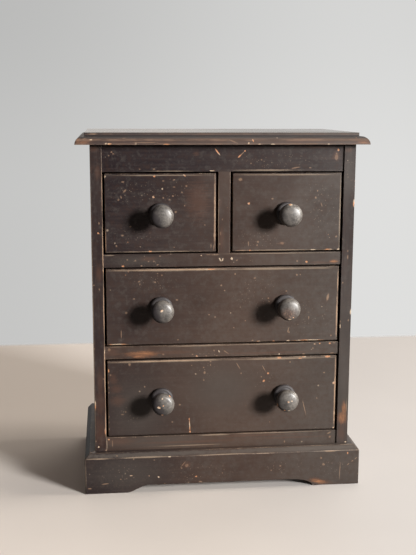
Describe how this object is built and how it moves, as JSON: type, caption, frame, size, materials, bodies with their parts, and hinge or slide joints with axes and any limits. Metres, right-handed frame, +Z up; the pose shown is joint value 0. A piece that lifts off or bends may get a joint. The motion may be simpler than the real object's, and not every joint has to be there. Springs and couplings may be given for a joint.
{
  "type": "miniature chest of drawers",
  "caption": "Small painted wooden chest with short drawers over long ones, turned knobs, a moulded top and a bracket plinth.",
  "frame": {"origin": "on the floor, under the middle of the chest's box in X and in Y, knobs included", "axes": "+Z up; the drawers open towards -Y; +X to the right of someone who faces the drawers"},
  "size_m": [0.329, 0.2114, 0.4155],
  "materials": {
    "case_paint": "dark brown satin paint on pine, rubbed through at edges and corners",
    "bare_pine": "planed, unpainted",
    "knob_paint": "dark grey-brown satin paint on turned pine, chipped"
  },
  "bodies": {
    "carcase": {"side_left": "case_paint", "side_right": "case_paint", "top_board": "case_paint", "top_blocks": "bare_pine", "bottom_board": "bare_pine", "frieze_rail": "case_paint", "upper_rail": "case_paint", "lower_rail": "case_paint", "bottom_rail": "case_paint", "rear_rail": "bare_pine", "drawer_divider": "case_paint", "runner_upper_left": "bare_pine", "runner_upper_right": "bare_pine", "runner_lower_left": "bare_pine", "runner_lower_right": "bare_pine", "centre_runner": "bare_pine", "centre_guide": "bare_pine", "kicker_left": "bare_pine", "kicker_right": "bare_pine", "centre_kicker": "bare_pine", "drawer_stops": "bare_pine", "back_boards": "bare_pine", "plinth_front": "case_paint", "plinth_left": "case_paint", "plinth_right": "case_paint", "plinth_blocks": "bare_pine"},
    "upper_left_drawer": {"upper_left_drawer_front": "case_paint", "upper_left_drawer_side_left": "bare_pine", "upper_left_drawer_side_right": "bare_pine", "upper_left_drawer_back": "bare_pine", "upper_left_drawer_bottom": "bare_pine", "upper_left_knob": "knob_paint"},
    "upper_right_drawer": {"upper_right_drawer_front": "case_paint", "upper_right_drawer_side_left": "bare_pine", "upper_right_drawer_side_right": "bare_pine", "upper_right_drawer_back": "bare_pine", "upper_right_drawer_bottom": "bare_pine", "upper_right_knob": "knob_paint"},
    "middle_drawer": {"middle_drawer_front": "case_paint", "middle_drawer_side_left": "bare_pine", "middle_drawer_side_right": "bare_pine", "middle_drawer_back": "bare_pine", "middle_drawer_bottom": "bare_pine", "middle_knob_left": "knob_paint", "middle_knob_right": "knob_paint"},
    "lower_drawer": {"lower_drawer_front": "case_paint", "lower_drawer_side_left": "bare_pine", "lower_drawer_side_right": "bare_pine", "lower_drawer_back": "bare_pine", "lower_drawer_bottom": "bare_pine", "lower_knob_left": "knob_paint", "lower_knob_right": "knob_paint"}
  },
  "joints": [
    {"name": "upper_left_drawer_slide", "type": "slide", "parent": "carcase", "child": "upper_left_drawer", "axis": [0, -1, 0], "range_m": [0, 0.13]},
    {"name": "upper_right_drawer_slide", "type": "slide", "parent": "carcase", "child": "upper_right_drawer", "axis": [0, -1, 0], "range_m": [0, 0.13]},
    {"name": "middle_drawer_slide", "type": "slide", "parent": "carcase", "child": "middle_drawer", "axis": [0, -1, 0], "range_m": [0, 0.13]},
    {"name": "lower_drawer_slide", "type": "slide", "parent": "carcase", "child": "lower_drawer", "axis": [0, -1, 0], "range_m": [0, 0.13]}
  ]
}
